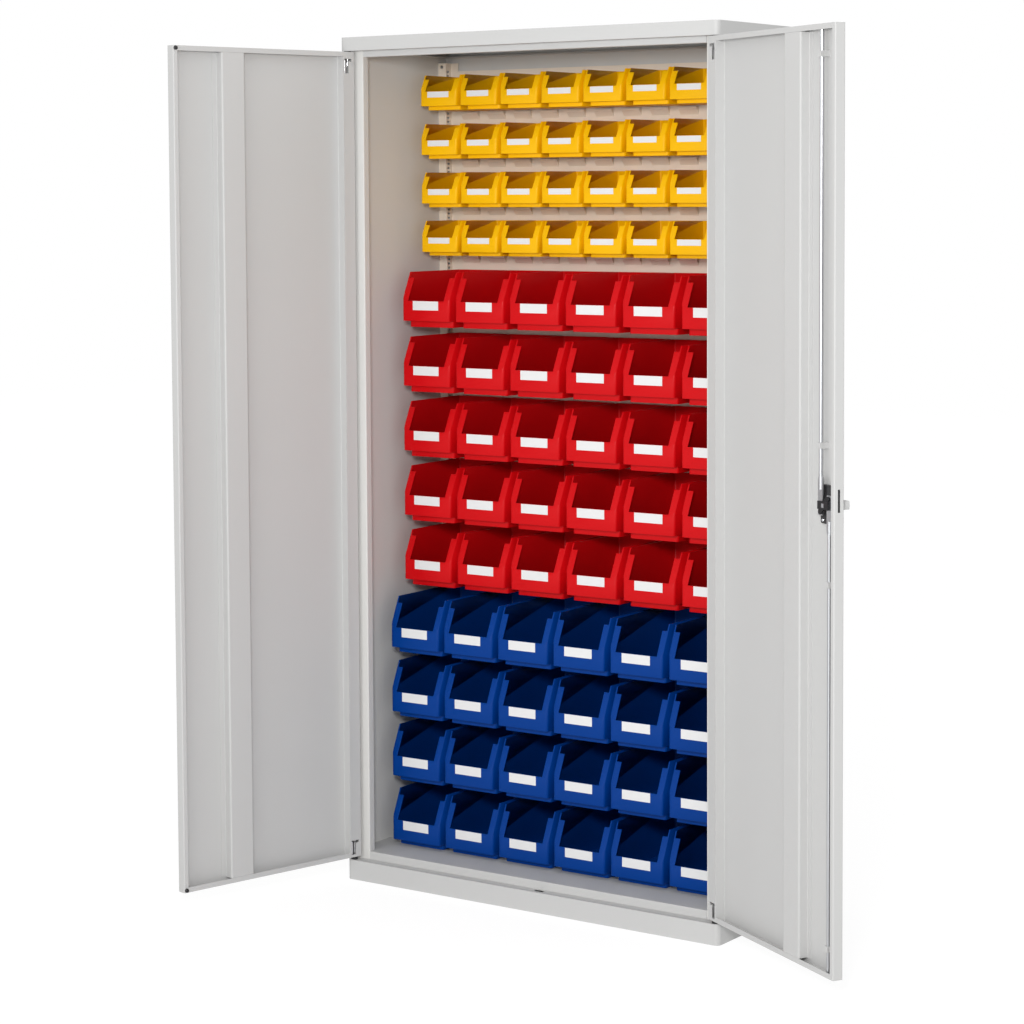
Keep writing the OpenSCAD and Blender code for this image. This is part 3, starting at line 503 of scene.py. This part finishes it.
# %% Tree that hangs copies in rows
def build_rows_tree():
    """Copies of an object on an upright grid, counted from the object's own place."""
    tree = bpy.data.node_groups.new("Hang in rows", "GeometryNodeTree")
    face = tree.interface
    for name, kind in (("Geometry", "NodeSocketGeometry"),
                       ("Piece", "NodeSocketObject"), ("Finish", "NodeSocketMaterial"),
                       ("Columns", "NodeSocketInt"), ("Rows", "NodeSocketInt"),
                       ("Column spacing", "NodeSocketFloat"),
                       ("Row spacing", "NodeSocketFloat"),
                       ("Lowest left", "NodeSocketVector"), ("Left out", "NodeSocketInt")):
        face.new_socket(name, in_out="INPUT", socket_type=kind)
    face.new_socket("Geometry", in_out="OUTPUT", socket_type="NodeSocketGeometry")
    link = tree.links.new
    given = add(tree, "NodeGroupInput")
    result = add(tree, "NodeGroupOutput")
    column = add(tree, "GeometryNodeMeshLine", mode="OFFSET")
    column_step = add(tree, "ShaderNodeCombineXYZ")
    row = add(tree, "GeometryNodeMeshLine", mode="OFFSET")
    row_step = add(tree, "ShaderNodeCombineXYZ")
    grid = add(tree, "GeometryNodeInstanceOnPoints")
    points = add(tree, "GeometryNodeRealizeInstances")
    index = add(tree, "GeometryNodeInputIndex")
    gap = add(tree, "FunctionNodeCompare", data_type="INT", operation="EQUAL")
    drop = add(tree, "GeometryNodeDeleteGeometry", domain="POINT")
    piece = add(tree, "GeometryNodeObjectInfo", transform_space="ORIGINAL")
    hang = add(tree, "GeometryNodeInstanceOnPoints")
    real = add(tree, "GeometryNodeRealizeInstances")
    paint = add(tree, "GeometryNodeSetMaterial")
    link(given.outputs["Column spacing"], column_step.inputs["X"])
    link(given.outputs["Row spacing"], row_step.inputs["Z"])
    link(given.outputs["Columns"], column.inputs["Count"])
    link(given.outputs["Lowest left"], column.inputs["Start Location"])
    link(column_step.outputs[0], column.inputs["Offset"])
    link(given.outputs["Rows"], row.inputs["Count"])
    link(row_step.outputs[0], row.inputs["Offset"])
    link(row.outputs["Mesh"], grid.inputs["Points"])
    link(column.outputs["Mesh"], grid.inputs["Instance"])
    link(grid.outputs["Instances"], points.inputs["Geometry"])
    link(index.outputs[0], port(gap.inputs, "A"))
    link(given.outputs["Left out"], port(gap.inputs, "B"))
    link(points.outputs[0], drop.inputs["Geometry"])
    link(gap.outputs["Result"], drop.inputs["Selection"])
    link(given.outputs["Piece"], piece.inputs["Object"])
    link(drop.outputs[0], hang.inputs["Points"])
    link(piece.outputs["Geometry"], hang.inputs["Instance"])
    link(hang.outputs["Instances"], real.inputs["Geometry"])
    link(real.outputs["Geometry"], paint.inputs["Geometry"])
    link(given.outputs["Finish"], paint.inputs["Material"])
    link(paint.outputs["Geometry"], result.inputs["Geometry"])
    return tree


rows_tree = build_rows_tree()
print("inputs:", [i.name for i in rows_tree.interface.items_tree if i.in_out == "INPUT"])

# %% Run the tree
def run_tree(tree, name, mat, values):
    """Runs a Geometry Nodes tree once and keeps its result as a plain piece."""
    maker = f"{name}_maker"
    holder = bpy.data.objects.new(maker, bpy.data.meshes.new(maker))
    collection.objects.link(holder)
    modifier = holder.modifiers.new("maker", "NODES")
    modifier.node_group = tree
    for item in tree.interface.items_tree:
        if item.item_type == "SOCKET" and item.in_out == "INPUT" and item.name in values:
            modifier[item.identifier] = values[item.name]
    mesh = evaluated_mesh(holder)
    bpy.data.objects.remove(holder)
    mesh.name = name
    return piece_from_mesh(name, mesh, mat)


# %% Yellow bin of the other hand
def mirrored_piece(source, name, centre_x):
    """A copy of a piece, turned left for right about an upright plane."""
    mesh = source.data.copy()
    mirror = Matrix.Translation((2 * centre_x, 0, 0)) @ Matrix.Scale(-1, 4, (1, 0, 0))
    mesh.transform(mirror)
    mesh.flip_normals()
    return piece_from_mesh(name, mesh, source.data.materials[0])


card_low, card_high = corners("yellow_bin_label")
loose_yellow_x = (card_low.x + card_high.x) / 2
other_hand = mirrored_piece(masters["yellow"], "yellow_other_hand", loose_yellow_x)
print("loose yellow bin at x =", round(loose_yellow_x, 3))

# %% Where the rows hang
COUNTS = {"yellow": (8, 4), "red": (6, 5), "blue": (6, 4)}


def layout(colour):
    """Columns, rows, their spacings, and the loose bin's column and row.

    The loose bin is counted from the lowest left one, which is in column 0 and row 0.
    """
    cards_low, cards_high = corners(f"{colour}_labels")
    card_low, card_high = corners(f"{colour}_bin_label")
    reach = cards_high - cards_low - (card_high - card_low)
    columns, rows = COUNTS[colour]
    dx, dz = reach.x / (columns - 1), reach.z / (rows - 1)
    from_corner = card_low - cards_low
    return columns, rows, dx, dz, round(from_corner.x / dx), round(from_corner.z / dz)


for colour in COUNTS:
    print(colour, "columns, rows, spacings, loose column and row:",
          [round(v, 4) for v in layout(colour)])

# %% Hang the bins
def hang_rows(name, piece, mat, colour, first=0, step=1):
    """Hangs every step-th column of a colour's grid, beginning with the column first."""
    columns, rows, dx, dz, loose_column, loose_row = layout(colour)
    count = len(range(first, columns, step))
    behind, left = divmod(loose_column - first, step)
    # No point has the number -1, so where the loose bin isn't in these columns, none goes.
    left_out = loose_row * count + behind if left == 0 else -1
    return run_tree(rows_tree, name, mat, {
        "Piece": piece, "Finish": mat, "Columns": count, "Rows": rows,
        "Column spacing": dx * step, "Row spacing": dz,
        "Lowest left": (dx * (first - loose_column), 0.0, -dz * loose_row),
        "Left out": left_out})


hung = {}
for name, piece, first, step in (("yellow_bins", masters["yellow"], 0, 2),
                                 ("yellow_bins_other_hand", other_hand, 1, 2),
                                 ("red_bins", masters["red"], 0, 1),
                                 ("blue_bins", masters["blue"], 0, 1)):
    colour = name.split("_")[0]
    hung[name] = hang_rows(name, piece, plastics[colour], colour, first, step)
bpy.data.objects.remove(other_hand)
print("hung:", list(hung))

# %% Hang the cards, and say what each piece stands for
for colour in plastics:
    cards = hang_rows(f"{colour}_cards", labels[colour], label_card, colour)
    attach(cards, "cabinet")
    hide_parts(f"{colour}_labels")
for name, obj in hung.items():
    colour = name.split("_")[0]
    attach(obj, "cabinet")
    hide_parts(*[n for n in nodes if n.startswith(f"{colour}_row")])
    print(name, "faces:", len(obj.data.polygons))

# %% [markdown]
# ## Floor and background
#
# Product photographs of furniture are often cut out on white. A pale floor that runs
# far back, in a white world, gives the same background. Four fifths of what the camera
# sees of the floor is an even glow, and the rest is its lit paint, which keeps a soft
# shadow at the plinth. The world shows full white to the camera, and to rays that gloss
# or glass sends out; what it sheds on the cabinet is plain ambient light.

# %% Floor
FLOOR = 12.0
GLOW_SHARE = 0.8
GLOW_STRENGTH = 1.1
WHITE = (1, 1, 1, 1)

floor_mesh = bpy.data.meshes.new("studio_floor")
floor_mesh.from_pydata([(-FLOOR, -FLOOR, 0), (FLOOR, -FLOOR, 0),
                        (FLOOR, FLOOR, 0), (-FLOOR, FLOOR, 0)], [], [(0, 1, 2, 3)])
floor_paint, floor_tree, floor_shader = new_material(
    "pale floor", Base_Color=seen(236, 236, 236), Roughness=0.9, Specular_IOR_Level=0.1)
glow = add(floor_tree, "ShaderNodeEmission", {"Color": WHITE, "Strength": GLOW_STRENGTH})
path = add(floor_tree, "ShaderNodeLightPath")
share = add(floor_tree, "ShaderNodeMath", {1: GLOW_SHARE}, operation="MULTIPLY")
blend = add(floor_tree, "ShaderNodeMixShader")
floor_out = floor_tree.nodes["Material Output"]
floor_tree.links.new(path.outputs["Is Camera Ray"], share.inputs[0])
floor_tree.links.new(share.outputs[0], blend.inputs[0])
floor_tree.links.new(floor_shader.outputs[0], blend.inputs[1])
floor_tree.links.new(glow.outputs[0], blend.inputs[2])
floor_tree.links.new(blend.outputs[0], floor_out.inputs["Surface"])
studio_floor = piece_from_mesh("studio_floor", floor_mesh, floor_paint)
print("floor:", 2 * FLOOR, "m square, glow:", GLOW_SHARE, "of what the camera sees")

# %% World
AMBIENT = 0.72

world = bpy.data.worlds.new("studio")
scene.world = world
world.use_nodes = True
air = world.node_tree
ambient = air.nodes["Background"]
ambient.inputs["Color"].default_value = WHITE
ambient.inputs["Strength"].default_value = AMBIENT
white = add(air, "ShaderNodeBackground", {"Color": WHITE, "Strength": 1.0})
sight = add(air, "ShaderNodeLightPath")
through = add(air, "ShaderNodeMath", operation="MAXIMUM")
either = add(air, "ShaderNodeMath", operation="MAXIMUM")
mixed = add(air, "ShaderNodeMixShader")
air.links.new(sight.outputs["Is Glossy Ray"], through.inputs[0])
air.links.new(sight.outputs["Is Transmission Ray"], through.inputs[1])
air.links.new(sight.outputs["Is Camera Ray"], either.inputs[0])
air.links.new(through.outputs[0], either.inputs[1])
air.links.new(either.outputs[0], mixed.inputs[0])
air.links.new(ambient.outputs[0], mixed.inputs[1])
air.links.new(white.outputs[0], mixed.inputs[2])
air.links.new(mixed.outputs[0], air.nodes["World Output"].inputs["Surface"])
scene.view_settings.view_transform = "Standard"
print("world:", AMBIENT, "on the cabinet, view:", scene.view_settings.view_transform)

# %% [markdown]
# ## Lamps
#
# The cabinet is deep and open, so it needs light that reaches in. One key lamp stands
# to the right of the middle at about eye height: it is small, so the header and the
# bins throw shadows with a clear edge on what is behind them. A large soft panel in
# front, at about a third of its power, fills those shadows and lights the right door.

# %% Lamps
MIDDLE = Vector((0, 0, 1.0))


def soft_panel(name, at, size, power):
    """A square area lamp that looks at the middle of the cabinet."""
    data = bpy.data.lights.new(name, "AREA")
    data.size = size
    data.energy = power
    lamp = bpy.data.objects.new(name, data)
    collection.objects.link(lamp)
    lamp.location = at
    lamp.rotation_euler = (MIDDLE - Vector(at)).to_track_quat("-Z", "Y").to_euler()


soft_panel("key lamp", at=(2.4, -4.1, 2.0), size=0.5, power=100)
soft_panel("front panel", at=(-0.2, -5.2, 1.5), size=2.4, power=36)
